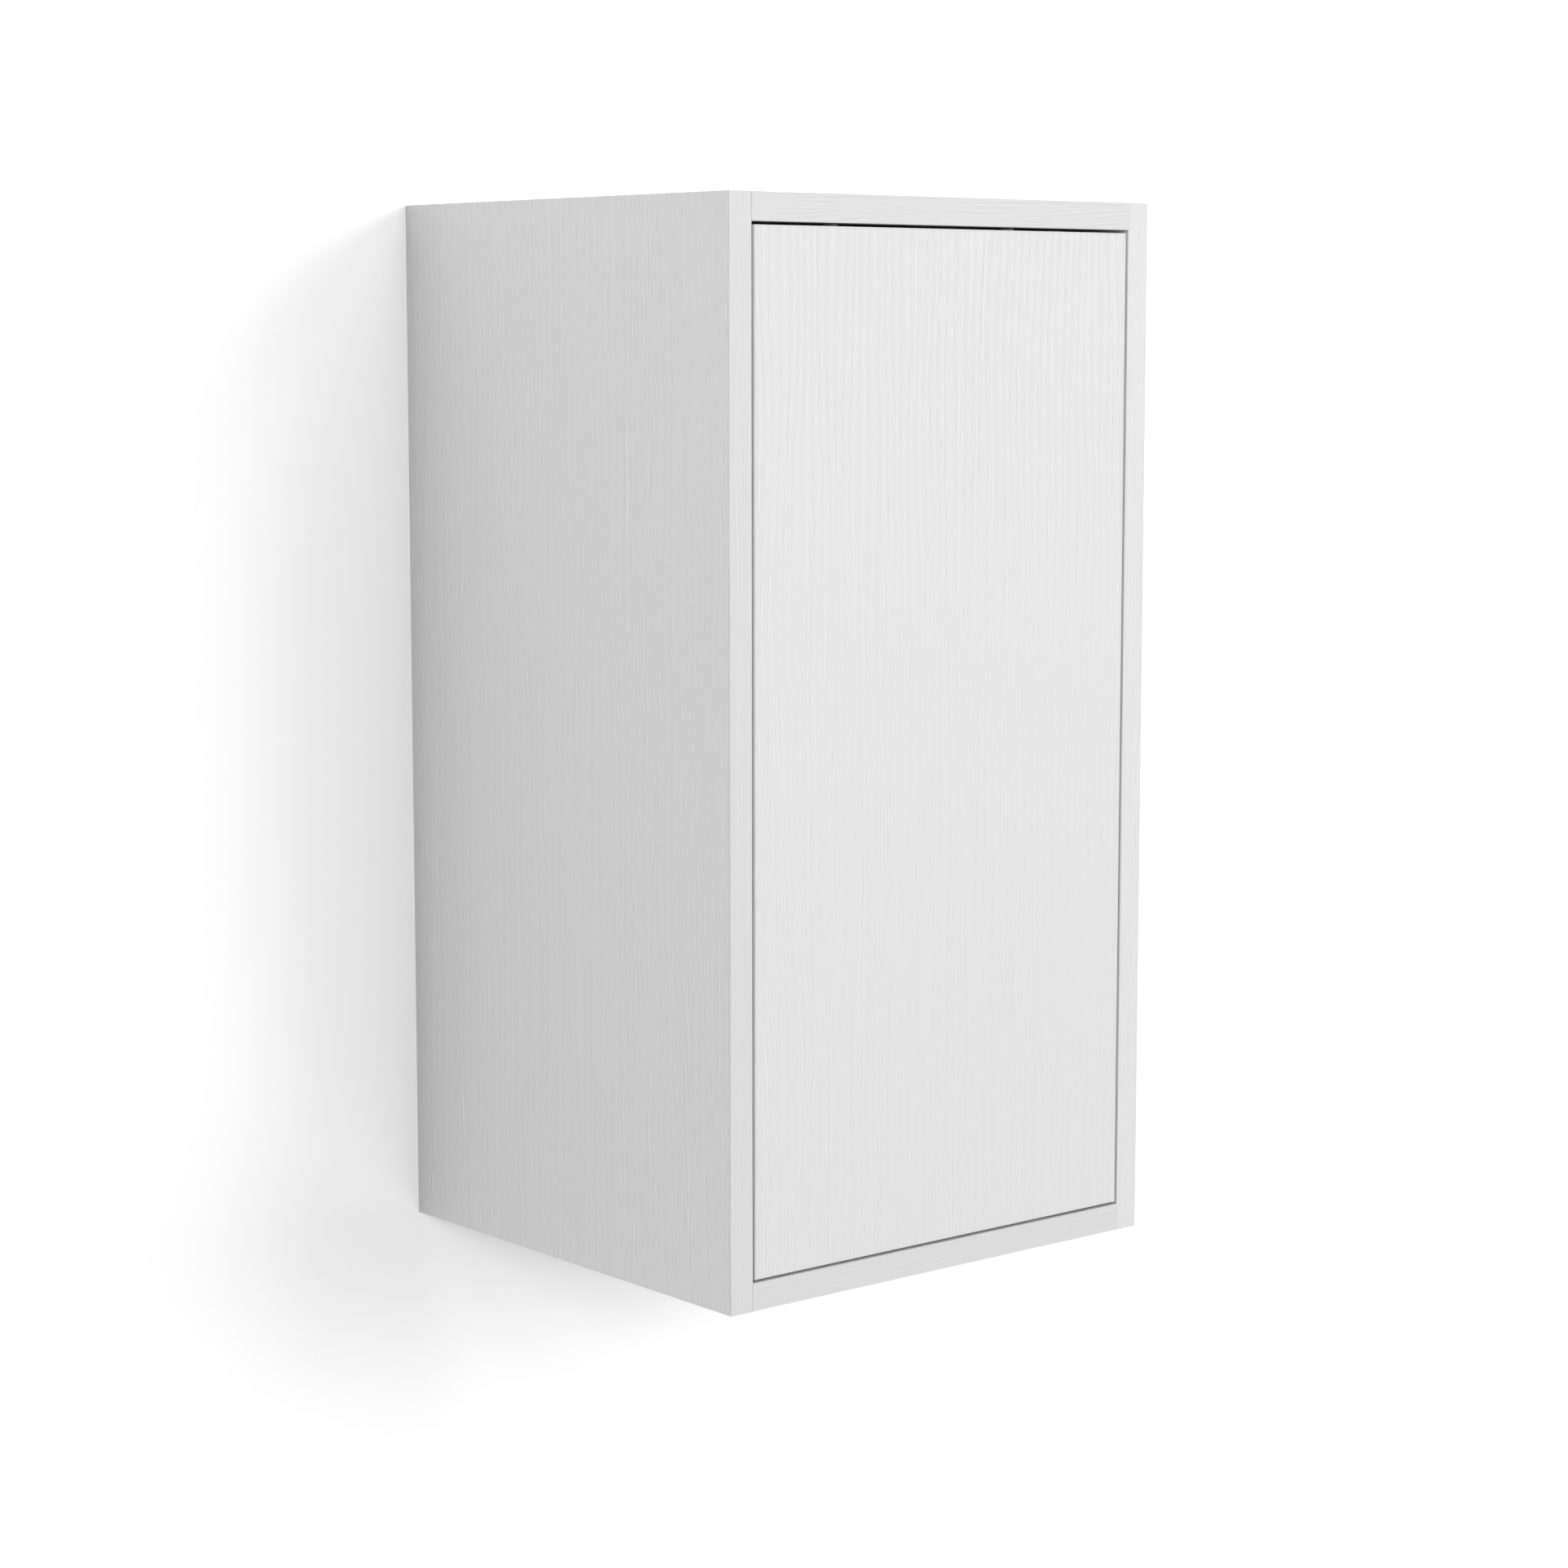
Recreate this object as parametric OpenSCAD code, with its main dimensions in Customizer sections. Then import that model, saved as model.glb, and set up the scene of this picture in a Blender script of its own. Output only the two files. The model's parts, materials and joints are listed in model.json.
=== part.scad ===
// Hanging wall cabinet with one inset door, hung on a steel wall rail.
// The origin is the middle of the rail's back face, in the wall plane.
// +Z is up, -Y is the front, and +X is the hinge side of the door.

/* [Cabinet] */
// Overall width
body_w = 360; // [340:10:600]
// Overall depth, from the wall to the front
body_d = 350; // [350:10:420]
// Overall height
body_h = 700; // [660:10:900]
// Thickness of the carcass, shelf and door boards
board = 18; // [18:0.5:19]
// Thickness of the edge bands
band_t = 1; // [0.8:0.1:1.5]
// Rounding along the outer edges of the edge bands
edge_r = 0.5; // [0.4:0.1:0.7]
// Space between the wall and the back panel
back_recess = 20; // [20:1:24]
// Thickness of the back panel
back_t = 3; // [3:0.5:4]

/* [Door] */
// Gap around the closed door
door_gap = 2; // [2:0.1:3]
// Distance from the door's ends to the hinge centres
hinge_from_end = 100; // [80:5:140]

/* [Shelf] */
// Setback of the shelf behind the cabinet's front
shelf_setback = 36; // [36:1:60]
// Number of pin holes above, and below, the one in use
spare_holes = 2; // [1:1:4]

/* [Wall rail] */
// Height of the cabinet's top above the middle of the rail
rail_below_top = 60; // [58:1:80]
// Distance between the rail's two screw holes
rail_hole_spacing = 240; // [200:10:240]
// Radius of the rail's screw holes
rail_hole_r = 3.2; // [2.6:0.1:3.5]

/* [Latch] */
// How far the plunger pushes out when the door is open
latch_travel = 14; // [8:1:16]

/* [Hidden] */
$fn = 64;
eps = 0.01;
fit = 0.05;
hole_spare = 0.5;

white_board = [0.92, 0.92, 0.92];
white_plastic = [0.95, 0.95, 0.95];
grey_plastic = [0.62, 0.63, 0.65];
clear_plastic = [0.88, 0.9, 0.92];
nickel = [0.72, 0.72, 0.7];
zinc = [0.6, 0.62, 0.64];
beech = [0.8, 0.64, 0.45];

// Planes of the carcass
x_out = body_w / 2;
x_in = x_out - board;
y_front = -body_d;
z_top = rail_below_top;
z_bottom = z_top - body_h;
z_in_top = z_top - board;
z_in_bottom = z_bottom + board;
z_mid = (z_top + z_bottom) / 2;
y_back = -back_recess;

// Back panel and its groove
groove_depth = 7;
groove_play = 0.1;
back_reach = groove_depth - 0.5;

// Cam fittings and dowels, by their distance behind the front
cam_y = [y_front + 50, -60];
dowel_y = [y_front + 82, -92];
cam_inset = 24;
cam_r = 7.4;
cam_h = 12.6;
cam_bolt_thread_r = 2.5;
cam_bolt_thread = 11;
cam_bolt_r = 3;
cam_bolt_neck = 20;
cam_bolt_head_r = 3.5;
cam_bolt_head = 3;
cam_pocket_play = 0.2;
cam_cap_r = 8.5;
cam_cap_t = 1.2;
cam_cap_chamfer = 0.5;
dowel_r = 4;
dowel_l = 30;
dowel_in_side = 12;

// Shelf and its pins
shelf_play = 1;
shelf_front = y_front + shelf_setback;
shelf_back = y_back - back_t - 1;
pin_r = 2.5;
pin_in_side = 9;
pin_out = 8;
pin_rows = [y_front + 65, -60];
pin_pitch = 32;
pin_z = z_mid - board / 2 - pin_r;

// Door
door_w = 2 * (x_in - door_gap);
door_h = body_h - 2 * board - 2 * door_gap;
door_x = x_in - door_gap;
door_z = z_in_bottom + door_gap;
y_door_back = y_front + board;

// Concealed hinge with one pivot; its own frame has the pivot as origin
pivot_from_edge = 23;
pivot_depth = 9;
pivot_x = door_x - pivot_from_edge;
pivot_y = y_front + pivot_depth;
hinge_z = [door_z + door_h - hinge_from_end, door_z + hinge_from_end];
cup_r = 17.5;
cup_depth = 12.6;
cup_wall = 0.8;
cup_hole_play = 0.1;
cup_mouth = board - pivot_depth;
cup_floor = cup_mouth - cup_depth;
flange_t = 1.2;
flange_rim = 1.5;
wing_w = 13;
wing_h = 57;
wing_r = 3;
wing_x = -9.5;
cup_screw_z = 22.5;
ear_gap = 0.6;
ear_t = 2;
ear_r = 3.2;
hinge_pin_r = 1.25;
pin_hole_play = 0.02;
arm_w = 14;
arm_t = 2.5;
knuckle_r = 2.4;
neck_r = 26.95;
neck_angle = 47.5;
neck_overrun = 3.2;
corner_inset = 0.4;
arm_back = 79;
arm_face_x = x_in - 4.5;
leg_x = arm_face_x - arm_t / 2 - pivot_x;
neck_end_angle = asin(leg_x / neck_r);
leg_y = neck_r * cos(neck_end_angle);
rib_t = 1.2;
rib_h = 2.2;
rib_front = 24;
arm_slot = 12;
plate_w = 11;
plate_front = 18;
plate_back = 76;
plate_wing_t = 2;
plate_wing_w = 14;
plate_wing_h = 48;
plate_wing_r = 5;
plate_screw_y = 46;
plate_screw_z = 16;
plate_tap = 4;
arm_adjust_y = 33;
arm_fix_y = 64;
arm_screw_r = 2.5;
arm_screw_head_r = 4;
arm_screw_head_h = 2.4;
arm_screw_grip = 3.5;
adjust_out = 1;

// Push latch, by the height of its axis and its distance from the side
latch_z = z_mid - 110;
latch_x = -x_in + 11;
latch_w = 20;
latch_h = 16;
latch_r = 2;
latch_end_wall = 8;
latch_rest_gap = 0.35;
strike_r = 7;
strike_t = 1;
strike_chamfer = 0.4;
magnet_r = 4.8;
magnet_l = 5;
plunger_r = 4;
plunger_guide = 26;
plunger_l = plunger_guide + latch_travel;
plunger_play = 0.1;
latch_bore = plunger_l + 28;
y_magnet = y_door_back + strike_t + latch_rest_gap;
y_latch = y_magnet + magnet_l + latch_rest_gap;
y_plunger_end = y_magnet + magnet_l + plunger_l;
latch_l = latch_bore + latch_end_wall;
latch_flange_t = 2.5;
latch_flange_h = 36;
latch_flange_l = 40;
latch_flange_r = 4;
latch_screw_z = 13;
spring_wire_r = 0.4;
spring_r = 3;
spring_turns = 9;
spring_steps = 16;
spring_sides = 8;

// Stop pegs under the top panel
stop_x = 76;
stop_y = y_front + 27;
stop_r = 5;
stop_h = 12;
stop_chamfer = 1;
stop_shank_r = 2.5;
stop_shank = 8;

// Wall rail profile and hanging brackets
rail_t = 2;
rail_offset = 6;
rail_low = -18;
rail_bend = 4;
rail_lip = 22;
rail_half = x_in - 5;
rail_hole_z = -8;
bracket_t = 2;
bracket_w = 20;
bracket_face_y = -9;
bracket_front_y = -18;
bracket_low = -32;
bracket_face_low = -2;
claw_back_y = -2.5;
claw_low = 12;
bracket_screw_z = [-10, -24];
bracket_screw_y = -14.2;

// Screws: shank radius, head radius and head height
screw_r = 2;
screw_head_r = 3.7;
screw_head_h = 2;
screw_l = 14;
screw_tip_r = 0.3;
recess_w = 1;

// A box given by its lowest and highest corners
module box(low, high) {
    translate(low) cube(high - low);
}

// A rectangle with round corners, centred on the origin
module round_rect(w, h, r) {
    square([w - 2 * r, h], center = true);
    square([w, h - 2 * r], center = true);
    for (x = [-1, 1], y = [-1, 1])
        translate([x * (w / 2 - r), y * (h / 2 - r)]) circle(r);
}

// A slot with round ends, along Y and centred on the origin
module slot(width, length) {
    straight = length - width;
    square([width, straight], center = true);
    for (y = [-straight / 2, straight / 2])
        translate([0, y]) circle(width / 2);
}

// A cylinder whose two ends are chamfered
module chamfered_rod(r, length, chamfer) {
    cylinder(h = chamfer, r1 = r - chamfer, r2 = r);
    translate([0, 0, chamfer]) cylinder(h = length - 2 * chamfer, r = r);
    translate([0, 0, length - chamfer]) cylinder(h = chamfer, r1 = r, r2 = r - chamfer);
}

// A cross recess cut downwards into a face at z = 0
module cross_recess(width, depth) {
    for (a = [0, 90])
        rotate([0, 0, a])
            translate([-width / 2, -recess_w / 2, -eps]) cube([width, recess_w, depth + eps]);
}

// A screw that enters along +Z, with the underside of its head at z = 0
module screw(shank_r, head_r, head_h, length) {
    difference() {
        union() {
            translate([0, 0, -head_h]) cylinder(h = head_h / 2, r1 = head_r * 0.75, r2 = head_r);
            translate([0, 0, -head_h / 2]) cylinder(h = head_h / 2, r = head_r);
            cylinder(h = length - shank_r, r = shank_r);
            translate([0, 0, length - shank_r]) cylinder(h = shank_r, r1 = shank_r, r2 = screw_tip_r);
        }
        translate([0, 0, -head_h]) cross_recess(head_r, head_h * 0.6);
    }
}

module wood_screw() {
    screw(screw_r, screw_head_r, screw_head_h, screw_l);
}

module screw_hole(length) {
    translate([0, 0, -eps]) cylinder(h = length + eps, r = screw_r + fit);
}

// Edge band along +Z: its outer face, with rounded edges, looks along -Y
module band(length) {
    linear_extrude(length) {
        translate([-board / 2, edge_r]) square([board, band_t - edge_r]);
        translate([edge_r - board / 2, 0]) square([board - 2 * edge_r, band_t]);
        for (side = [-1, 1])
            translate([side * (board / 2 - edge_r), edge_r]) circle(edge_r);
    }
}

// Right-hand side board, before the holes that only one side has
module side_board() {
    difference() {
        box([x_in, y_front + band_t, z_bottom], [x_out, 0, z_top]);
        box([x_in - eps, y_back - back_t - groove_play, z_in_bottom - groove_depth],
            [x_in + groove_depth, y_back + groove_play, z_in_top + groove_depth]);
        for (z = [z_in_top + board / 2, z_in_bottom - board / 2]) {
            for (y = dowel_y)
                translate([x_in - eps, y, z]) rotate([0, 90, 0])
                    cylinder(h = dowel_in_side + fit, r = dowel_r + fit);
            for (y = cam_y)
                translate([x_in - eps, y, z]) rotate([0, 90, 0])
                    cylinder(h = cam_bolt_thread + fit, r = cam_bolt_thread_r + fit);
        }
        for (y = pin_rows, i = [-spare_holes : spare_holes])
            translate([x_in - eps, y, pin_z + i * pin_pitch]) rotate([0, 90, 0])
                cylinder(h = pin_in_side + 2 * hole_spare, r = pin_r + fit);
        for (z = bracket_screw_z)
            translate([x_in, bracket_screw_y, z]) rotate([0, 90, 0]) screw_hole(screw_l);
    }
}

module side_panel_left() {
    color(white_board) difference() {
        mirror([1, 0, 0]) side_board();
        for (side = [-1, 1])
            translate([-x_in, y_latch + latch_l / 2, latch_z + side * latch_screw_z])
                rotate([0, -90, 0]) screw_hole(screw_l);
    }
}

module side_panel_right() {
    color(white_board) difference() {
        side_board();
        for (z = hinge_z, side = [-1, 1])
            translate([x_in, pivot_y + plate_screw_y, z + side * plate_screw_z])
                rotate([0, 90, 0]) screw_hole(screw_l);
    }
}

// Top board, before the holes for the stop pegs; the bottom board is its mirror image
module end_board() {
    difference() {
        box([-x_in, y_front + band_t, z_in_top], [x_in, 0, z_top]);
        box([-x_out, y_back - back_t - groove_play, z_in_top - eps],
            [x_out, y_back + groove_play, z_in_top + groove_depth]);
        for (side = [-1, 1]) {
            for (y = dowel_y)
                translate([side * (x_in + eps), y, z_in_top + board / 2]) rotate([0, -90 * side, 0])
                    cylinder(h = dowel_l - dowel_in_side + hole_spare, r = dowel_r + fit);
            for (y = cam_y) {
                translate([side * (x_in + eps), y, z_in_top + board / 2]) rotate([0, -90 * side, 0])
                    cylinder(h = cam_inset, r = dowel_r + fit);
                translate([side * (x_in - cam_inset), y, z_in_top - eps])
                    cylinder(h = cam_h + cam_pocket_play, r = cam_r + fit);
            }
        }
    }
}

module mirror_to_bottom() {
    translate([0, 0, 2 * z_mid]) mirror([0, 0, 1]) children();
}

module top_panel() {
    color(white_board) difference() {
        end_board();
        for (side = [-1, 1])
            translate([side * stop_x, stop_y, z_in_top - eps])
                cylinder(h = stop_shank + hole_spare, r = stop_shank_r + fit);
    }
}

module bottom_panel() {
    color(white_board) mirror_to_bottom() end_board();
}

module back_panel() {
    color(white_board)
        box([-x_in - back_reach, y_back - back_t, z_in_bottom - back_reach],
            [x_in + back_reach, y_back, z_in_top + back_reach]);
}

module edge_band_side(side) {
    color(white_board) translate([side * (x_in + board / 2), y_front, z_bottom]) band(body_h);
}

module edge_band_end(z) {
    color(white_board) translate([-x_in, y_front, z]) rotate([0, 90, 0]) band(2 * x_in);
}

module dowels() {
    color(beech)
        for (side = [-1, 1], y = dowel_y, z = [z_in_top + board / 2, z_in_bottom - board / 2])
            translate([side * (x_in + dowel_in_side), y, z]) rotate([0, -90 * side, 0])
                chamfered_rod(dowel_r, dowel_l, 1);
}

module cam_bolt() {
    chamfered_rod(cam_bolt_thread_r, cam_bolt_thread, 0.5);
    translate([0, 0, cam_bolt_thread]) cylinder(h = cam_bolt_neck, r = cam_bolt_r);
    translate([0, 0, cam_bolt_thread + cam_bolt_neck]) cylinder(h = cam_bolt_head, r = cam_bolt_head_r);
}

module cam_bolts() {
    color(zinc)
        for (side = [-1, 1], y = cam_y, z = [z_in_top + board / 2, z_in_bottom - board / 2])
            translate([side * (x_in + cam_bolt_thread), y, z]) rotate([0, -90 * side, 0]) cam_bolt();
}

// Cam with its open face down and the bolt entering from +X
module cam_housing() {
    difference() {
        cylinder(h = cam_h, r = cam_r);
        translate([-cam_bolt_head_r - 1, 0, board / 2]) rotate([0, 90, 0])
            cylinder(h = cam_r + cam_bolt_head_r + 2, r = cam_bolt_head_r + 0.3);
        cross_recess(cam_r, 2);
    }
}

module cam_set(part_z) {
    for (side = [-1, 1], y = cam_y)
        translate([side * (x_in - cam_inset), y, part_z]) mirror([side < 0 ? 1 : 0, 0, 0]) children();
}

module cam_housings() {
    color(zinc) {
        cam_set(z_in_top) cam_housing();
        mirror_to_bottom() cam_set(z_in_top) cam_housing();
    }
}

module cam_cap() {
    cylinder(h = cam_cap_t / 2, r1 = cam_cap_r - cam_cap_chamfer, r2 = cam_cap_r);
    translate([0, 0, cam_cap_t / 2]) cylinder(h = cam_cap_t / 2, r = cam_cap_r);
}

module cam_caps() {
    color(white_plastic) {
        cam_set(z_in_top - cam_cap_t) cam_cap();
        mirror_to_bottom() cam_set(z_in_top - cam_cap_t) cam_cap();
    }
}

module shelf() {
    color(white_board)
        box([shelf_play - x_in, shelf_front + band_t, z_mid - board / 2],
            [x_in - shelf_play, shelf_back, z_mid + board / 2]);
}

module shelf_edge_band() {
    color(white_board) translate([shelf_play - x_in, shelf_front, z_mid])
        rotate([0, 90, 0]) band(2 * (x_in - shelf_play));
}

module shelf_pins() {
    color(nickel)
        for (side = [-1, 1], y = pin_rows)
            translate([side * (x_in + pin_in_side), y, pin_z]) rotate([0, -90 * side, 0])
                chamfered_rod(pin_r, pin_in_side + pin_out, 0.5);
}

// Z-shaped rail: a flat web on the wall, a joggle, and a lip that stands off the wall
module wall_rail() {
    slope = rail_t * (sqrt(2) - 1);
    color(zinc) difference() {
        translate([-rail_half, 0, 0]) rotate([90, 0, 90]) linear_extrude(2 * rail_half) polygon([
            [0, rail_low],
            [0, rail_bend],
            [-rail_offset, rail_bend + rail_offset],
            [-rail_offset, rail_lip],
            [-rail_offset - rail_t, rail_lip],
            [-rail_offset - rail_t, rail_bend + rail_offset - slope],
            [-rail_t, rail_bend - slope],
            [-rail_t, rail_low]
        ]);
        for (side = [-1, 1])
            translate([side * rail_hole_spacing / 2, eps, rail_hole_z]) rotate([90, 0, 0])
                cylinder(h = rail_t + 2 * eps, r = rail_hole_r);
    }
}

// Right-hand bracket: screwed to the side panel, and hooked over the rail's lip
module hanging_bracket() {
    x_hook = x_in - bracket_w;
    x_hook_end = x_in - 2 * bracket_t;
    z_hook_top = rail_lip + bracket_t;
    difference() {
        union() {
            box([x_in - bracket_t, bracket_front_y, bracket_low], [x_in, bracket_face_y, z_hook_top]);
            box([x_hook, bracket_face_y - bracket_t, bracket_face_low], [x_in, bracket_face_y, z_hook_top]);
            box([x_hook, bracket_face_y - bracket_t, rail_lip], [x_hook_end, claw_back_y, z_hook_top]);
            box([x_hook, claw_back_y - bracket_t, claw_low], [x_hook_end, claw_back_y, z_hook_top]);
        }
        for (z = bracket_screw_z)
            translate([x_in - bracket_t, bracket_screw_y, z]) rotate([0, 90, 0]) screw_hole(bracket_t + eps);
    }
}

module hanging_bracket_left() {
    color(zinc) mirror([1, 0, 0]) hanging_bracket();
}

module hanging_bracket_right() {
    color(zinc) hanging_bracket();
}

module bracket_screws() {
    color(zinc)
        for (side = [-1, 1], z = bracket_screw_z)
            translate([side * (x_in - bracket_t), bracket_screw_y, z]) rotate([0, 90 * side, 0])
                wood_screw();
}

module at_hinge(z) {
    translate([pivot_x, pivot_y, z]) children();
}

module door_panel() {
    color(white_board) difference() {
        box([band_t - door_x, y_front, door_z + band_t],
            [door_x - band_t, y_door_back, door_z + door_h - band_t]);
        for (z = hinge_z) at_hinge(z) {
            translate([0, cup_floor - cup_hole_play, 0]) rotate([-90, 0, 0])
                cylinder(h = cup_depth + 1, r = cup_r + fit);
            for (side = [-1, 1])
                translate([wing_x, cup_mouth, side * cup_screw_z]) rotate([90, 0, 0]) screw_hole(screw_l - 1);
        }
    }
}

module door_band_side(side) {
    color(white_board) translate([side * door_x, y_front + board / 2, door_z])
        rotate([0, 0, 90 * side]) band(door_h);
}

module door_band_bottom() {
    color(white_board) translate([band_t - door_x, y_front + board / 2, door_z])
        rotate([90, 0, 90]) band(door_w - 2 * band_t);
}

module door_band_top() {
    color(white_board) translate([band_t - door_x, y_front + board / 2, door_z + door_h])
        rotate([-90, 0, -90]) band(door_w - 2 * band_t);
}

// Cup let into the door, with a screwed flange and two ears that hold the pin
module hinge_cup() {
    color(nickel) difference() {
        union() {
            translate([0, cup_floor, 0]) rotate([-90, 0, 0]) difference() {
                cylinder(h = cup_depth, r = cup_r);
                translate([0, 0, cup_wall]) cylinder(h = cup_depth, r = cup_r - cup_wall);
            }
            translate([0, cup_mouth, 0]) rotate([-90, 0, 0]) linear_extrude(flange_t) difference() {
                union() {
                    circle(cup_r + flange_rim);
                    translate([wing_x, 0]) round_rect(wing_w, wing_h, wing_r);
                }
                circle(cup_r - cup_wall);
                for (side = [-1, 1])
                    translate([wing_x, side * cup_screw_z]) circle(screw_r + fit);
            }
            for (side = [-1, 1])
                translate([0, 0, side * (arm_w / 2 + ear_gap + ear_t / 2)])
                    linear_extrude(ear_t, center = true) {
                        circle(ear_r);
                        translate([-ear_r, cup_floor + cup_wall / 2])
                            square([2 * ear_r, -cup_floor - cup_wall / 2]);
                    }
        }
        cylinder(h = 2 * arm_w, r = hinge_pin_r + pin_hole_play, center = true);
    }
}

module hinge_pin() {
    half = arm_w / 2 + ear_gap + ear_t;
    color(zinc) translate([0, 0, -half]) chamfered_rod(hinge_pin_r, 2 * half, 0.3);
}

module hinge_cup_screws() {
    color(nickel)
        for (z = hinge_z, side = [-1, 1])
            at_hinge(z) translate([wing_x, cup_mouth + flange_t, side * cup_screw_z])
                rotate([90, 0, 0]) screw(screw_r, screw_head_r, screw_head_h, screw_l);
}

// Swan-necked arm: it leaves the cup's mouth, bends round the door's edge, and runs back along the side
module hinge_arm() {
    half_t = arm_t / 2;
    neck_sweep = neck_angle + neck_overrun + neck_end_angle;
    color(nickel) difference() {
        union() {
            cylinder(h = arm_w, r = knuckle_r, center = true);
            rotate([0, 0, neck_angle])
                box([-half_t, 0, -arm_w / 2], [half_t, neck_r + half_t - corner_inset, arm_w / 2]);
            rotate([0, 0, 90 - neck_end_angle]) rotate_extrude(angle = neck_sweep)
                translate([neck_r - half_t, -arm_w / 2]) square([arm_t, arm_w]);
            box([leg_x - half_t, leg_y - corner_inset, -arm_w / 2], [leg_x + half_t, arm_back, arm_w / 2]);
            for (side = [-1, 1])
                translate([leg_x, rib_front, side * (arm_w - rib_t) / 2 - rib_t / 2])
                    cube([half_t + rib_h, arm_back - rib_front, rib_t]);
        }
        cylinder(h = 2 * arm_w, r = hinge_pin_r + fit, center = true);
        translate([leg_x, arm_adjust_y, 0]) rotate([0, 90, 0])
            cylinder(h = 2 * arm_t, r = arm_screw_r + fit, center = true);
        translate([leg_x, arm_fix_y, 0]) rotate([0, 90, 0]) linear_extrude(2 * arm_t, center = true)
            slot(2 * (arm_screw_r + fit), arm_slot);
    }
}

// Mounting plate: a block under the arm with two screwed wings
module hinge_plate() {
    face_x = arm_face_x - pivot_x;
    wall_x = x_in - pivot_x;
    color(nickel) difference() {
        union() {
            box([face_x, plate_front, -plate_w / 2], [wall_x, plate_back, plate_w / 2]);
            translate([wall_x - plate_wing_t, plate_screw_y, 0]) rotate([0, 90, 0])
                linear_extrude(plate_wing_t) round_rect(plate_wing_h, plate_wing_w, plate_wing_r);
        }
        for (side = [-1, 1])
            translate([wall_x - plate_wing_t, plate_screw_y, side * plate_screw_z])
                rotate([0, 90, 0]) screw_hole(plate_wing_t + eps);
        translate([face_x - eps, arm_fix_y, 0]) rotate([0, 90, 0])
            cylinder(h = plate_tap, r = arm_screw_r + fit);
    }
}

module hinge_plate_screws() {
    color(nickel)
        for (z = hinge_z, side = [-1, 1])
            translate([x_in - plate_wing_t, pivot_y + plate_screw_y, z + side * plate_screw_z])
                rotate([0, 90, 0]) wood_screw();
}

module hinge_arm_screws() {
    color(zinc)
        for (z = hinge_z) at_hinge(z) {
            translate([leg_x - arm_t / 2, arm_fix_y, 0]) rotate([0, 90, 0])
                screw(arm_screw_r, arm_screw_head_r, arm_screw_head_h, arm_t + arm_screw_grip);
            translate([leg_x - arm_t / 2 - adjust_out, arm_adjust_y, 0]) rotate([0, 90, 0]) difference() {
                cylinder(h = arm_t + adjust_out, r = arm_screw_r);
                cross_recess(1.4 * arm_screw_r, adjust_out);
            }
        }
}

module at_latch(y) {
    translate([latch_x, y, latch_z]) children();
}

module latch_housing() {
    color(grey_plastic) difference() {
        union() {
            at_latch(y_latch) translate([-x_in - latch_x + latch_w / 2, 0, 0]) rotate([-90, 0, 0])
                linear_extrude(latch_l) round_rect(latch_w, latch_h, latch_r);
            translate([-x_in, y_latch + latch_l / 2, latch_z]) rotate([0, 90, 0])
                linear_extrude(latch_flange_t) round_rect(latch_flange_h, latch_flange_l, latch_flange_r);
        }
        at_latch(y_latch - eps) rotate([-90, 0, 0])
            cylinder(h = latch_bore, r = plunger_r + plunger_play);
        for (side = [-1, 1])
            translate([latch_flange_t - x_in, y_latch + latch_l / 2, latch_z + side * latch_screw_z])
                rotate([0, -90, 0]) screw_hole(latch_flange_t + eps);
    }
}

module latch_screws() {
    color(zinc)
        for (side = [-1, 1])
            translate([latch_flange_t - x_in, y_latch + latch_l / 2, latch_z + side * latch_screw_z])
                rotate([0, -90, 0]) wood_screw();
}

module latch_plunger() {
    color(white_plastic) at_latch(y_magnet + magnet_l) rotate([-90, 0, 0])
        cylinder(h = plunger_l, r = plunger_r);
}

module latch_magnet() {
    color(zinc) at_latch(y_magnet) rotate([-90, 0, 0]) chamfered_rod(magnet_r, magnet_l, 0.5);
}

module latch_strike() {
    color(zinc) at_latch(y_door_back) rotate([-90, 0, 0]) {
        cylinder(h = strike_t / 2, r = strike_r);
        translate([0, 0, strike_t / 2])
            cylinder(h = strike_t / 2, r1 = strike_r, r2 = strike_r - strike_chamfer);
    }
}

// Rings of points along a helix of the given pitch, joined into a closed wire
function spring_ring(i, pitch) =
    let (a = 360 * i / spring_steps, z = pitch * i / spring_steps)
    [for (j = [0 : spring_sides - 1])
        let (b = 360 * j / spring_sides, r = spring_r + spring_wire_r * cos(b))
        [r * cos(a), r * sin(a), z + spring_wire_r * sin(b)]];

function ring_face(i, j) =
    let (k = (j + 1) % spring_sides, low = i * spring_sides, high = low + spring_sides)
    [low + j, high + j, high + k, low + k];

module latch_spring() {
    rings = spring_turns * spring_steps;
    free = latch_bore - 2 * latch_rest_gap - plunger_l - 2 * spring_wire_r;
    points = [for (i = [0 : rings]) each spring_ring(i, free / spring_turns)];
    walls = [for (i = [0 : rings - 1], j = [0 : spring_sides - 1]) ring_face(i, j)];
    first_cap = [for (j = [0 : spring_sides - 1]) j];
    last_cap = [for (j = [spring_sides - 1 : -1 : 0]) rings * spring_sides + j];
    color(zinc) at_latch(y_plunger_end + latch_rest_gap / 2 + spring_wire_r) rotate([-90, 0, 0])
        polyhedron(points, concat(walls, [first_cap, last_cap]), convexity = 10);
}

module door_stops() {
    color(clear_plastic)
        for (side = [-1, 1])
            translate([side * stop_x, stop_y, z_in_top - stop_h]) {
                cylinder(h = stop_chamfer, r1 = stop_r - stop_chamfer, r2 = stop_r);
                translate([0, 0, stop_chamfer]) cylinder(h = stop_h - stop_chamfer, r = stop_r);
                translate([0, 0, stop_h]) cylinder(h = stop_shank, r = stop_shank_r);
            }
}

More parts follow.
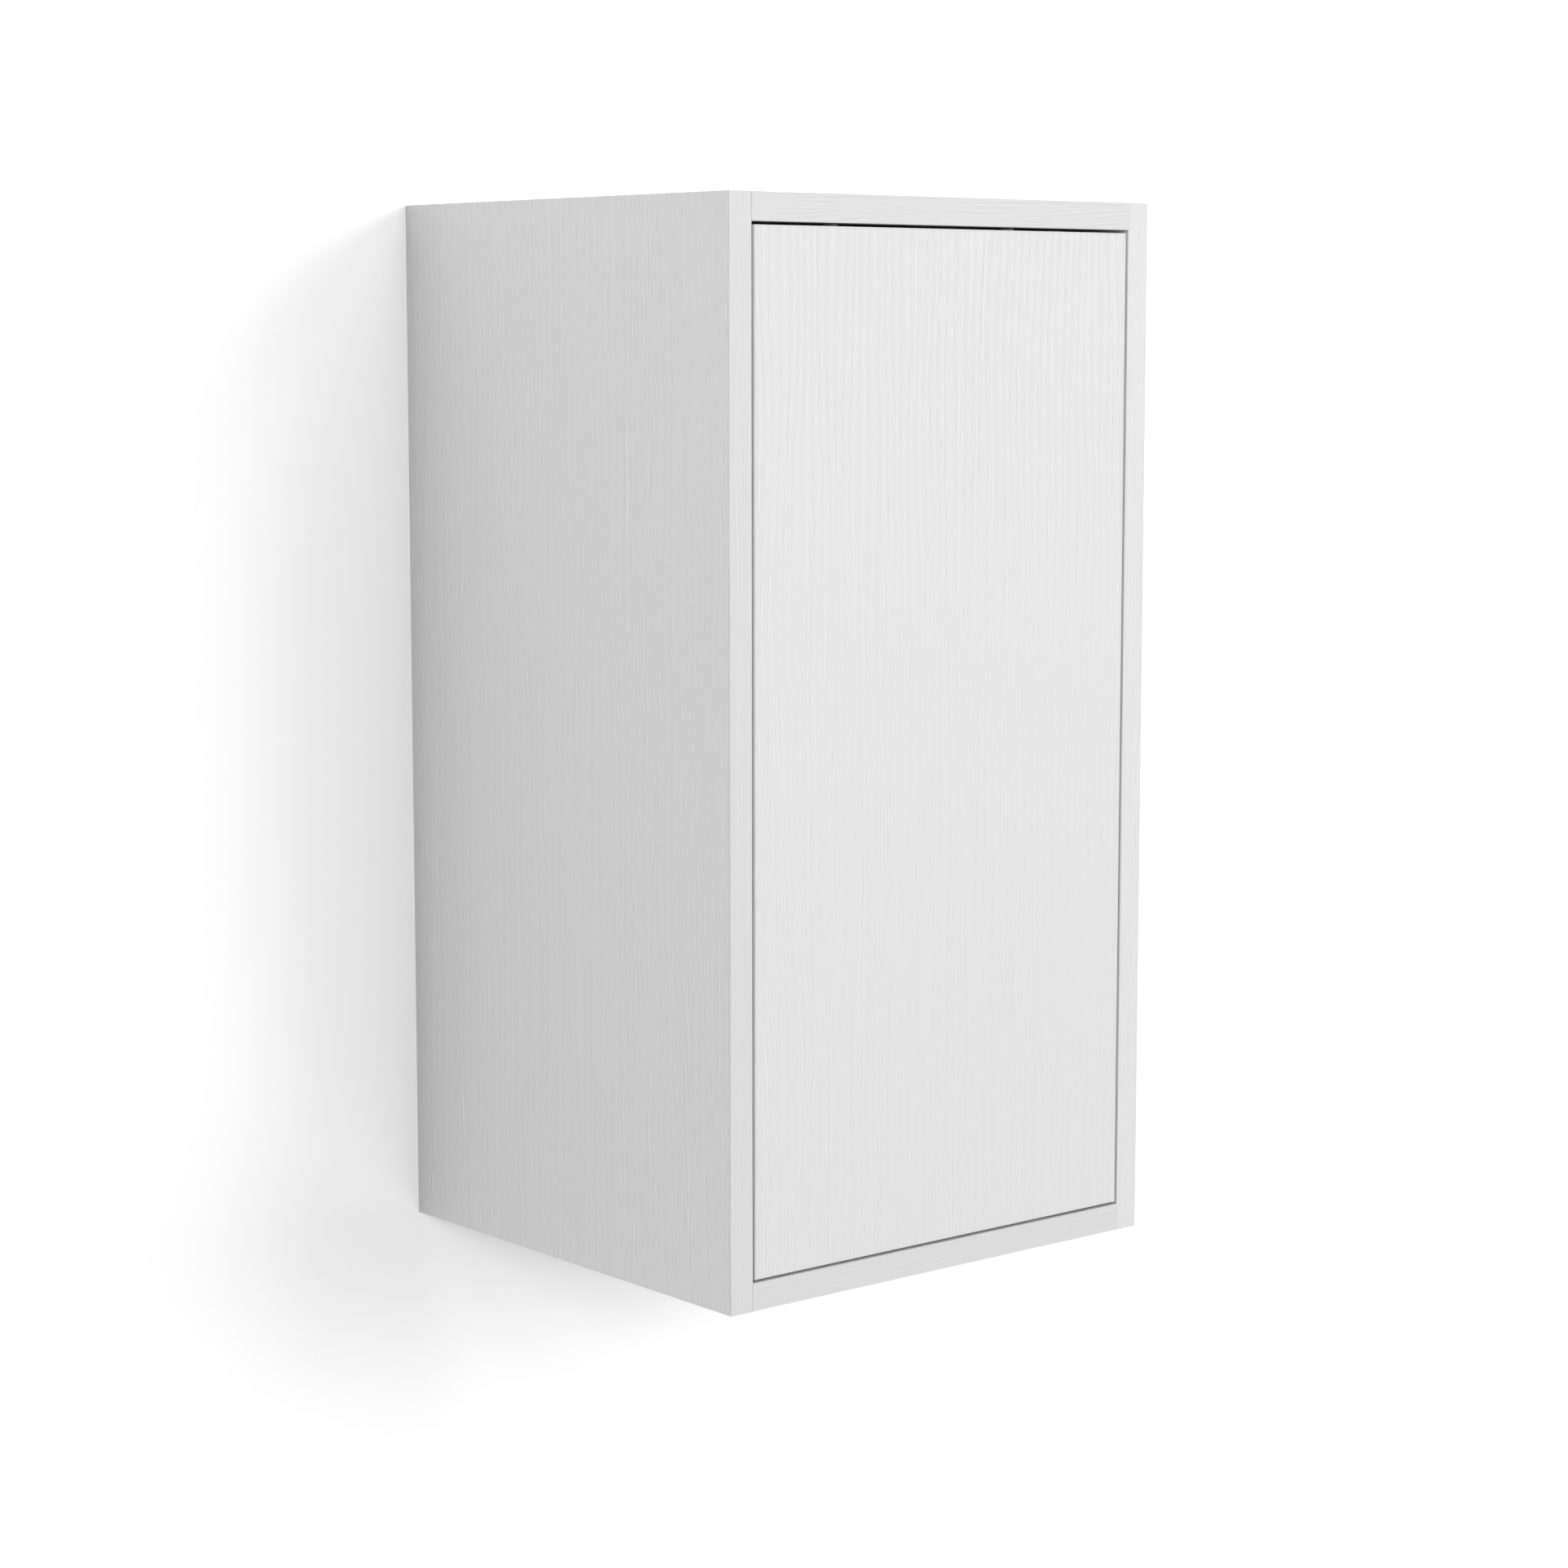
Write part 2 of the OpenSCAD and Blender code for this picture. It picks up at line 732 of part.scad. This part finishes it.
side_panel_left();
side_panel_right();
top_panel();
bottom_panel();
back_panel();
edge_band_side(-1);  // edge_band_left
edge_band_side(1);  // edge_band_right
edge_band_end(z_top - board / 2);  // edge_band_top
edge_band_end(z_bottom + board / 2);  // edge_band_bottom
dowels();
cam_bolts();
cam_housings();
cam_caps();
shelf();
shelf_edge_band();
shelf_pins();
wall_rail();
hanging_bracket_left();
hanging_bracket_right();
bracket_screws();
door_panel();
door_band_side(-1);  // door_band_left
door_band_side(1);  // door_band_right
door_band_top();
door_band_bottom();
at_hinge(hinge_z[0]) hinge_cup();  // hinge_cup_upper
at_hinge(hinge_z[1]) hinge_cup();  // hinge_cup_lower
at_hinge(hinge_z[0]) hinge_pin();  // hinge_pin_upper
at_hinge(hinge_z[1]) hinge_pin();  // hinge_pin_lower
hinge_cup_screws();
at_hinge(hinge_z[0]) hinge_arm();  // hinge_arm_upper
at_hinge(hinge_z[1]) hinge_arm();  // hinge_arm_lower
at_hinge(hinge_z[0]) hinge_plate();  // hinge_plate_upper
at_hinge(hinge_z[1]) hinge_plate();  // hinge_plate_lower
hinge_plate_screws();
hinge_arm_screws();
latch_housing();
latch_screws();
latch_spring();
latch_plunger();
latch_magnet();
latch_strike();
door_stops();
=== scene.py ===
import json
import math

import bpy
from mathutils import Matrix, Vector


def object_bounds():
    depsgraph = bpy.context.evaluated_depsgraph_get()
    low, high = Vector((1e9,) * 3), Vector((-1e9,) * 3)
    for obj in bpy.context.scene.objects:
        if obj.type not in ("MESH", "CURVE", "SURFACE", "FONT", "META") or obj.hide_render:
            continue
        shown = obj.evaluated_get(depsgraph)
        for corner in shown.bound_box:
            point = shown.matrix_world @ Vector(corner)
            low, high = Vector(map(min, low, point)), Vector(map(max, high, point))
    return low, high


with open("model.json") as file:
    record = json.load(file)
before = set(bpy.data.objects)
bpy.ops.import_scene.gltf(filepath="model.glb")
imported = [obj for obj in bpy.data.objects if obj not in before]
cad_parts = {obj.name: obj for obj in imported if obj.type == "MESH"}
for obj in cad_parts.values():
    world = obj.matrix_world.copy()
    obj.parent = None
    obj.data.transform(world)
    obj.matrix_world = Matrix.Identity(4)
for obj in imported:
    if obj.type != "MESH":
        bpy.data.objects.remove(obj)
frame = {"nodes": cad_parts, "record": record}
cad_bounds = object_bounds()
nodes = frame["nodes"]

MM = 0.001

# ---------------------------------------------------------------- node helpers
# Texture scales are in cells per metre.


class Surface:
    """A material under construction, with short calls for the nodes that it needs."""

    def __init__(self, name):
        self.material = bpy.data.materials.new(name)
        self.material.use_nodes = True
        self.tree = self.material.node_tree
        self.bsdf = self.tree.nodes["Principled BSDF"]
        self.coordinates = self.node("ShaderNodeTexCoord").outputs["Object"]
        self.rounded = None

    def node(self, kind, **settings):
        made = self.tree.nodes.new(kind)
        for key, value in settings.items():
            setattr(made, key, value)
        return made

    def link(self, source, target):
        self.tree.links.new(source, target)

    def mapped(self, vector, scale, offset=0.0, rotation=(0.0, 0.0, 0.0)):
        mapping = self.node("ShaderNodeMapping")
        mapping.inputs["Scale"].default_value = scale
        mapping.inputs["Rotation"].default_value = rotation
        mapping.inputs["Location"].default_value = (offset, offset * 1.7, offset * 0.6)
        self.link(vector, mapping.inputs["Vector"])
        return mapping.outputs["Vector"]

    def noise(self, vector, detail=2.0, roughness=0.5):
        noise = self.node("ShaderNodeTexNoise")
        noise.inputs["Scale"].default_value = 1.0
        noise.inputs["Detail"].default_value = detail
        noise.inputs["Roughness"].default_value = roughness
        self.link(vector, noise.inputs["Vector"])
        return noise.outputs["Fac"]

    def pair(self, first, second):
        """The vector (first, second, 0)."""
        made = self.node("ShaderNodeCombineXYZ")
        self.link(first, made.inputs["X"])
        self.link(second, made.inputs["Y"])
        return made.outputs["Vector"]

    def print_noise(self, flat, across, along, seed):
        """Noise between -1 and 1 on a flat (across, along) place, with that width and length."""
        mapping = self.node("ShaderNodeMapping")
        mapping.inputs["Scale"].default_value = (1 / across, 1 / along, 1.0)
        mapping.inputs["Location"].default_value = (seed * 3.7, seed * 1.9, 0.0)
        self.link(flat, mapping.inputs["Vector"])
        noise = self.node("ShaderNodeTexNoise", noise_dimensions="2D")
        noise.inputs["Scale"].default_value = 1.0
        noise.inputs["Detail"].default_value = 0.0
        self.link(mapping.outputs["Vector"], noise.inputs["Vector"])
        return self.ranged(noise.outputs["Fac"], 0.2, 0.8, -1.0, 1.0)

    def ranged(self, value, low, high, to_low=0.0, to_high=1.0):
        ranged = self.node("ShaderNodeMapRange")
        ranged.inputs["From Min"].default_value = low
        ranged.inputs["From Max"].default_value = high
        ranged.inputs["To Min"].default_value = to_low
        ranged.inputs["To Max"].default_value = to_high
        self.link(value, ranged.inputs["Value"])
        return ranged.outputs["Result"]

    def math(self, operation, *values):
        node = self.node("ShaderNodeMath", operation=operation)
        for socket, value in zip(node.inputs, values):
            if isinstance(value, (int, float)):
                socket.default_value = value
            else:
                self.link(value, socket)
        return node.outputs["Value"]

    def rings(self, place, pitch, drift, turn):
        """Growth rings of that pitch, which the drift moves by up to that many radians."""
        phase = self.math("MULTIPLY_ADD", place, 2 * math.pi / pitch, self.math("MULTIPLY", drift, turn))
        return self.math("SINE", phase)

    def worn_edges(self, radius):
        """Rounds the edges in the shading, and returns a mask: 0 on flats and up to 1, unevenly, on edges."""
        bevel = self.node("ShaderNodeBevel", samples=6)
        bevel.inputs["Radius"].default_value = radius
        self.rounded = bevel.outputs["Normal"]
        turn = self.node("ShaderNodeVectorMath", operation="DOT_PRODUCT")
        self.link(self.rounded, turn.inputs[0])
        self.link(self.node("ShaderNodeNewGeometry").outputs["Normal"], turn.inputs[1])
        edge = self.ranged(turn.outputs["Value"], 0.99, 0.75)
        patchy = self.noise(self.mapped(self.coordinates, (160, 160, 160), 9), 3.0, 0.6)
        return self.math("MULTIPLY", edge, self.ranged(patchy, 0.35, 0.65, 0.25, 1.0))

    def colour(self, factor, dark, light):
        mix = self.node("ShaderNodeMix", data_type="RGBA")
        mix.inputs["A"].default_value = (*dark, 1.0)
        mix.inputs["B"].default_value = (*light, 1.0)
        mix.clamp_factor = False
        self.link(factor, mix.inputs["Factor"])
        self.link(mix.outputs["Result"], self.bsdf.inputs["Base Color"])

    def bump(self, height, depth):
        bump = self.node("ShaderNodeBump")
        bump.inputs["Strength"].default_value = 1.0
        bump.inputs["Distance"].default_value = depth
        self.link(height, bump.inputs["Height"])
        if self.rounded:
            self.link(self.rounded, bump.inputs["Normal"])
        self.link(bump.outputs["Normal"], self.bsdf.inputs["Normal"])

    def roughness(self, value):
        self.link(value, self.bsdf.inputs["Roughness"])

    def set(self, **values):
        for name, value in values.items():
            self.bsdf.inputs[name.replace("_", " ")].default_value = value


def grey(level):
    return (level, level, level)


# ------------------------------------------------------------------- materials

EDGE_RADIUS = 0.4 * MM

# The ash print. Each layer has a width, a length and a number that sets it apart from the others
PRINT_LAYERS = {
    "wander": (90 * MM, 260 * MM, 0),
    "fine_drift": (9 * MM, 110 * MM, 3),
    "wide_drift": (26 * MM, 130 * MM, 19),
    "patches": (9 * MM, 38 * MM, 13),
    "short_lines": (0.75 * MM, 14 * MM, 5),
    "streaks": (4.6 * MM, 170 * MM, 7),
    "zones": (50 * MM, 900 * MM, 11),
    "pores": (1.1 * MM, 9 * MM, 17),
}
FINE_PITCH, FINE_TURN = 2.3 * MM, 4.0
WIDE_PITCH, WIDE_TURN = 6.8 * MM, 2.4
CROWN_HEIGHTS = (-0.24, -0.06)
FINE_SHARE, SHORT_SHARE, FINE_CROWN = 0.6, 0.4, 0.45
RELIEF_SHARE, STREAK_SHARE, WIDE_SHARE, WIDE_CROWN = 0.5, 0.07, 0.07, 0.21
PORE_SHADE, PORE_DEPTH = 0.12, 0.5
PRINT_SPREAD = 0.036
PRINT_DEPTH = 0.012 * MM
PRINT_ROUGHNESS = (0.60, 0.48)
WORN_SMOOTHING = 0.12


def white_ash(name, axis, seed, level, slant=0.0, sway=0.6 * MM, contrast=1.0, crown=0.0):
    """White board with an embossed ash print: close fine lines, wider rings, streaks and short pores along an axis.

    The crown is how much stronger the print gets towards the upper end of a standing board."""
    s = Surface(name)
    turned = s.mapped(s.coordinates, (1, 1, 1), rotation=(0.0, slant, 0.0))
    parts = s.node("ShaderNodeSeparateXYZ")
    s.link(turned, parts.inputs[0])
    along = parts.outputs[axis]
    first, second = (parts.outputs[other] for other in "XYZ" if other != axis)
    across = s.math("ADD", first, second)

    def layer(which, place):
        width, length, shift = PRINT_LAYERS[which]
        return s.print_noise(place, width, length, seed + shift)

    wander = layer("wander", s.pair(across, along))
    swayed = s.math("ADD", across, s.math("MULTIPLY", wander, sway))
    path = s.pair(swayed, along)

    fine_rings = s.rings(swayed, FINE_PITCH, layer("fine_drift", path), FINE_TURN)
    wide_rings = s.rings(swayed, WIDE_PITCH, layer("wide_drift", path), WIDE_TURN)
    patches = s.ranged(layer("patches", path), -0.5, 0.5, 0.35, 1.5)
    zones = s.ranged(layer("zones", path), -0.4, 0.6, 0.6, 1.5)
    pores = s.ranged(layer("pores", path), 0.45, 0.9)
    upper = s.ranged(along, *CROWN_HEIGHTS, 0.0, crown)

    lines = s.math("ADD", s.math("MULTIPLY", fine_rings, FINE_SHARE),
                   s.math("MULTIPLY", layer("short_lines", path), SHORT_SHARE))
    lines = s.math("MULTIPLY", s.math("MULTIPLY", lines, patches), s.math("MULTIPLY_ADD", upper, FINE_CROWN, 1.0))
    relief = s.math("MULTIPLY", lines, zones)
    wide = s.math("MULTIPLY", wide_rings, s.math("MULTIPLY_ADD", upper, WIDE_CROWN, WIDE_SHARE))
    shade = s.math("ADD", s.math("MULTIPLY", relief, RELIEF_SHARE),
                   s.math("MULTIPLY", layer("streaks", path), STREAK_SHARE))
    shade = s.math("ADD", s.math("ADD", shade, wide), 0.5)
    shade = s.math("SUBTRACT", shade, s.math("MULTIPLY", pores, PORE_SHADE))
    worn = s.worn_edges(EDGE_RADIUS)
    spread = PRINT_SPREAD * contrast
    s.colour(s.math("ADD", shade, worn), grey(level * (1 - spread)), grey(level * (1 + spread)))
    s.roughness(s.math("SUBTRACT", s.ranged(relief, -1.0, 1.0, *PRINT_ROUGHNESS),
                       s.math("MULTIPLY", worn, WORN_SMOOTHING)))
    s.bump(s.math("SUBTRACT", relief, s.math("MULTIPLY", pores, PORE_DEPTH)), PRINT_DEPTH * contrast)
    s.set(Specular_IOR_Level=0.3)
    return s.material


def smooth_board(name, level):
    """Lacquered white fibreboard with a faint roller texture."""
    s = Surface(name)
    mottle = s.noise(s.mapped(s.coordinates, (900, 900, 900)), 3.0, 0.6)
    cloud = s.noise(s.mapped(s.coordinates, (9, 9, 9), 4), 2.0)
    shade = s.math("ADD", s.math("MULTIPLY", mottle, 0.4), s.math("MULTIPLY", cloud, 0.6))
    s.colour(s.math("ADD", shade, s.math("MULTIPLY", s.worn_edges(EDGE_RADIUS), 0.5)),
             grey(level * 0.975), grey(level * 1.02))
    s.roughness(s.ranged(mottle, 0.3, 0.7, 0.48, 0.6))
    s.bump(mottle, 0.02 * MM)
    return s.material


def plated(name, dark, light, rough_low, rough_high, mottle_size):
    """Plated steel with soft mottling, fine drawn lines and a slight orange peel."""
    s = Surface(name)
    mottle = s.noise(s.mapped(s.coordinates, (1 / mottle_size,) * 3), 3.0, 0.6)
    drawn = s.noise(s.mapped(s.coordinates, (900, 120, 900), 5), 2.0, 0.6)
    worn = s.worn_edges(EDGE_RADIUS)
    s.colour(s.math("ADD", s.ranged(mottle, 0.3, 0.7), s.math("MULTIPLY", worn, 0.8)), dark, light)
    uneven = s.math("ADD", s.math("MULTIPLY", mottle, 0.6), s.math("MULTIPLY", drawn, 0.4))
    s.roughness(s.math("SUBTRACT", s.ranged(uneven, 0.3, 0.7, rough_low, rough_high), s.math("MULTIPLY", worn, 0.08)))
    s.bump(drawn, 0.01 * MM)
    s.set(Metallic=1.0)
    return s.material


def moulded(name, dark, light, rough):
    """Moulded plastic with a fine spark-eroded grain."""
    s = Surface(name)
    grain = s.noise(s.mapped(s.coordinates, (2600, 2600, 2600)), 2.0, 0.7)
    cloud = s.noise(s.mapped(s.coordinates, (60, 60, 60), 2), 2.0)
    worn = s.worn_edges(0.5 * EDGE_RADIUS)
    s.colour(s.math("ADD", cloud, s.math("MULTIPLY", worn, 0.6)), dark, light)
    s.roughness(s.math("SUBTRACT", s.ranged(grain, 0.3, 0.7, rough - 0.07, rough + 0.07),
                       s.math("MULTIPLY", worn, 0.1)))
    s.bump(grain, 0.015 * MM)
    return s.material


BEECH_WIDTH, BEECH_LENGTH = 1.2 * MM, 20 * MM


def beech(name):
    """Turned beech with its grain along the dowels, which lie along X."""
    s = Surface(name)
    grain = s.noise(s.mapped(s.coordinates, (1 / BEECH_LENGTH, 1 / BEECH_WIDTH, 1 / BEECH_WIDTH)), 3.0, 0.6)
    s.colour(s.ranged(grain, 0.3, 0.7), (0.42, 0.26, 0.13), (0.62, 0.43, 0.25))
    s.roughness(s.ranged(grain, 0.3, 0.7, 0.6, 0.75))
    s.bump(grain, 0.05 * MM)
    return s.material


def clear_plastic(name):
    """Clear, slightly cloudy plastic."""
    s = Surface(name)
    cloud = s.noise(s.mapped(s.coordinates, (140, 140, 140)), 2.0)
    s.colour(cloud, (0.78, 0.80, 0.81), (0.88, 0.90, 0.91))
    s.roughness(s.ranged(cloud, 0.3, 0.7, 0.22, 0.34))
    s.bump(cloud, 0.02 * MM)
    s.set(Transmission_Weight=0.55, IOR=1.46)
    return s.material


RAIL_GRAIN = {"slant": math.radians(1.2), "sway": 2.5 * MM, "contrast": 0.85}
BOARD_LEVEL = 0.60
BAND_LEVEL = 0.555
# Painted light: the right edge band gets a lighter grey than the left band of the same material, standing in for the
# light that falls on the right
PAINTED_LIGHT_BAND_LEVEL = 0.59
DOOR_LEVEL = 0.59
LOOKS = {
    "carcass_side_white_ash": white_ash("look_side", "Z", 1.0, BOARD_LEVEL, contrast=1.6),
    "carcass_end_white_ash": white_ash("look_end", "X", 23.0, BOARD_LEVEL, **RAIL_GRAIN),
    "back_panel_white": smooth_board("look_back", BOARD_LEVEL),
    "door_white_ash": white_ash("look_door", "Z", 41.0, DOOR_LEVEL, crown=1.0),
    "beech_dowel": beech("look_beech"),
    "zinc_plated_steel": plated("look_zinc", (0.58, 0.60, 0.62), (0.69, 0.70, 0.72), 0.32, 0.44, 4 * MM),
    "nickel_plated_steel": plated("look_nickel", (0.46, 0.45, 0.435), (0.55, 0.54, 0.52), 0.40, 0.52, 7 * MM),
    "white_plastic": moulded("look_white_plastic", grey(0.74), grey(0.80), 0.42),
    "grey_plastic": moulded("look_grey_plastic", (0.30, 0.31, 0.33), (0.36, 0.37, 0.39), 0.48),
    "clear_plastic": clear_plastic("look_clear"),
    "magnet_nickel": plated("look_magnet", (0.50, 0.50, 0.52), (0.62, 0.62, 0.63), 0.16, 0.28, 3 * MM),
}

left_band = white_ash("look_left_band", "Z", 61.0, BAND_LEVEL)
# The right band's lighter grey is painted light, not a different band colour
painted_lighter_right_band = white_ash("look_painted_lighter_right_edge", "Z", 67.0, PAINTED_LIGHT_BAND_LEVEL)
end_band = white_ash("look_end_band", "X", 71.0, BAND_LEVEL, **RAIL_GRAIN)
BAND_LOOKS = {
    "edge_band_left": left_band,
    "edge_band_right": painted_lighter_right_band,
    "edge_band_top": end_band,
    "edge_band_bottom": end_band,
    "shelf_edge_band": end_band,
}

slot_of = {part["node"]: part["material_slot"] for part in frame["record"]["subparts"]}
for name, piece in nodes.items():
    look = BAND_LOOKS.get(name, LOOKS[slot_of[name]])
    piece.data.materials.clear()
    piece.data.materials.append(look)

# ----------------------------------------------------------------------- stage

WALL_SIZE = 9.0
WALL_LEVEL = 1.0
WALL_GAP = 0.2 * MM
FLOOR_SIZE = 4 * WALL_SIZE
FLOOR_LEVEL = 0.25
FLOOR_DROP = 1.1
BACKDROP_GLOW = 0.55
CARD_WIDTH = 35 * MM
CARD_LEVEL = 0.55
CARD_GAP = 0.1 * MM


def plane(name, centre, width, height, rotation):
    x, y = width / 2, height / 2
    mesh = bpy.data.meshes.new(name)
    mesh.from_pydata([(-x, -y, 0), (x, -y, 0), (x, y, 0), (-x, y, 0)], [], [(0, 1, 2, 3)])
    obj = bpy.data.objects.new(name, mesh)
    bpy.context.scene.collection.objects.link(obj)
    obj.location = centre
    obj.rotation_euler = rotation
    return obj


def plaster(name, level):
    s = Surface(name)
    cloud = s.noise(s.mapped(s.coordinates, (2.0, 2.0, 2.0)), 2.0)
    s.colour(cloud, grey(level * 0.995), grey(level))
    s.set(Roughness=0.9, Specular_IOR_Level=0.1)
    return s


def glowing(surface, strength):
    """A pale floor that is evenly light as far as one can see."""
    surface.set(Emission_Color=(1, 1, 1, 1), Emission_Strength=strength)
    return surface.material


def one_sided(surface):
    """A wall that can be seen only from the room, so that the cabinet's back can be looked at."""
    output = surface.tree.nodes["Material Output"]
    clear = surface.node("ShaderNodeBsdfTransparent")
    facing = surface.node("ShaderNodeNewGeometry").outputs["Backfacing"]
    mix = surface.node("ShaderNodeMixShader")
    surface.link(facing, mix.inputs["Fac"])
    surface.link(surface.bsdf.outputs["BSDF"], mix.inputs[1])
    surface.link(clear.outputs["BSDF"], mix.inputs[2])
    surface.link(mix.outputs["Shader"], output.inputs["Surface"])
    return surface.material


low, high = (Vector(corner) for corner in cad_bounds)
middle = (low + high) / 2
floor_z = low.z - FLOOR_DROP
upright = (math.radians(90), 0, 0)

floor = plane("floor", (0, 0, floor_z), FLOOR_SIZE, FLOOR_SIZE, (0, 0, 0))
floor.data.materials.append(glowing(plaster("look_floor", FLOOR_LEVEL), BACKDROP_GLOW))
floor.visible_diffuse = False

# The cabinet's rear edges lie in the wall's plane. The lamp behind the wall shines through it
wall = plane("wall", (0, high.y + WALL_GAP, floor_z + WALL_SIZE / 2), WALL_SIZE, WALL_SIZE, upright)
wall.data.materials.append(one_sided(plaster("look_wall", WALL_LEVEL)))
wall.visible_shadow = False

# A grey card on the wall, beside the cabinet, that only bounced light meets: it deepens the corner's soft shadow
card_place = (low.x - CARD_WIDTH / 2, high.y - CARD_GAP, middle.z)
card = plane("corner_card", card_place, CARD_WIDTH, high.z - low.z, upright)
card.data.materials.append(one_sided(plaster("look_card", CARD_LEVEL)))
card.visible_camera = False
card.visible_shadow = False
card.visible_glossy = False


def area_light(name, place, target, size, watts):
    light = bpy.data.lights.new(name, "AREA")
    light.shape = "DISK"
    light.size = size
    light.energy = watts
    obj = bpy.data.objects.new(name, light)
    bpy.context.scene.collection.objects.link(obj)
    obj.visible_camera = False
    obj.location = place
    obj.rotation_euler = (Vector(target) - Vector(place)).to_track_quat("-Z", "Y").to_euler()
    return obj


# Each lamp's place, what it points at, its diameter and its power. floor_up stands for the light that a floor throws
# up, and back is behind the wall, where it lights only the cabinet's back
LAMPS = {
    "left_front": ((-2.6, -2.4, 0.5), middle, 1.5, 58.5),
    "left_top": ((-2.2, -2.0, 2.2), middle, 1.5, 20.0),
    "front": ((1.2, -3.4, 0.2), middle, 1.5, 30.5),
    "front_top": ((0.5, -3.2, 2.0), middle, 1.5, 27.2),
    "front_low": ((0.3, -3.2, -1.3), middle, 1.2, 8.6),
    "right_top": ((2.2, -2.6, 1.5), middle, 1.5, 15.6),
    "right_soft": ((3.0, -2.4, 0.6), middle, 3.0, 64.5),
    "floor_up": ((0.0, -1.3, -1.7), (0.0, -1.3, 0.0), 2.5, 16.0),
    "back": ((0.0, 2.6, middle.z), middle, 0.3, 30.0),
}
for name, (place, target, size, watts) in LAMPS.items():
    area_light(name, place, target, size, watts)

# The world is seen directly and in reflections, but throws no diffuse light
world = bpy.data.worlds.new("studio")
bpy.context.scene.world = world
world.use_nodes = True
world.node_tree.nodes["Background"].inputs["Color"].default_value = (1, 1, 1, 1)
world.node_tree.nodes["Background"].inputs["Strength"].default_value = BACKDROP_GLOW
world.cycles_visibility.diffuse = False
bpy.context.scene.view_settings.view_transform = "Standard"

# ---------------------------------------------------------------------- camera

CAMERA_YAW = math.radians(39.76)
CAMERA_PITCH = math.radians(-7.28)
CAMERA_FROM_CORNER = Vector((-1.3679, -1.6964, 0.6164))

camera_data = bpy.data.cameras.new("camera")
camera_data.sensor_width = 36
camera_data.lens = 81.68
camera = bpy.data.objects.new("camera", camera_data)
bpy.context.scene.collection.objects.link(camera)
camera.location = low + CAMERA_FROM_CORNER
camera.rotation_euler = (math.radians(90) + CAMERA_PITCH, 0, -CAMERA_YAW)
bpy.context.scene.camera = camera
